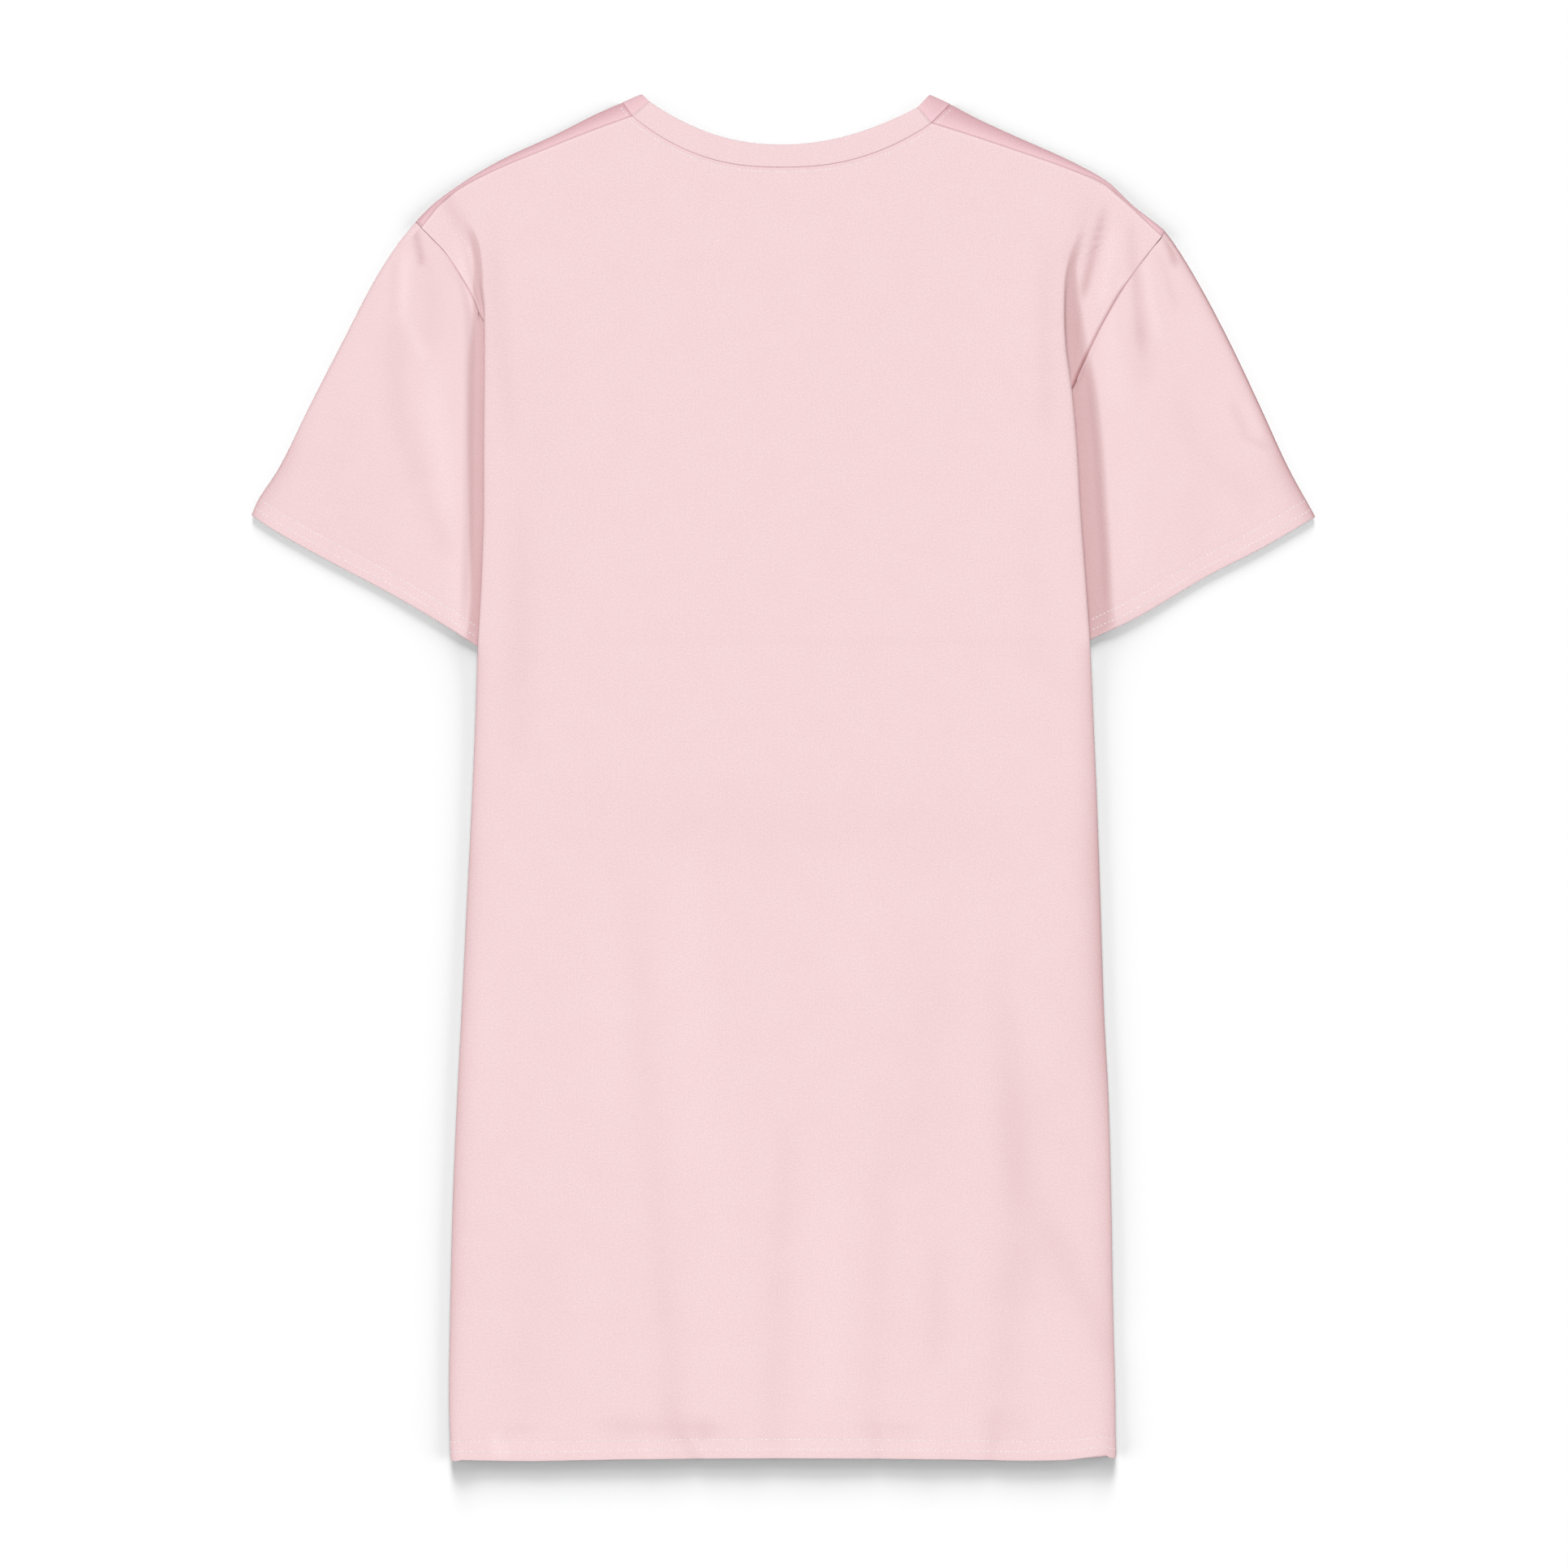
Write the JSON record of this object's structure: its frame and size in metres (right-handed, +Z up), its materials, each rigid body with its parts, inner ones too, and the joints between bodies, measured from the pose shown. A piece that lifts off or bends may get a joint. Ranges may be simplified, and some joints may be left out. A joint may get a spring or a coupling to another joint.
{
  "type": "t-shirt dress",
  "caption": "Plain short-sleeved jersey t-shirt dress with a ribbed crew neck, lying flat with its back side up.",
  "frame": {"origin": "middle of the garment's bounding box, on the surface it lies on", "axes": "+X across to the wearer's right, +Y from the hem to the neck, +Z up out of the surface; the back of the garment faces +Z"},
  "size_m": [0.6737, 0.8658, 0.0087],
  "materials": {
    "back": "pale pink cotton jersey",
    "front": "pink cotton jersey",
    "sleeve_left": "pale pink cotton jersey",
    "sleeve_right": "pale pink cotton jersey",
    "neckband_back": "pale pink cotton rib",
    "neckband_front": "pink cotton rib"
  },
  "bodies": {
    "root": {"back": "back", "front": "front", "sleeve_left": "sleeve_left", "sleeve_right": "sleeve_right", "neckband_back": "neckband_back", "neckband_front": "neckband_front"}
  },
  "joints": []
}
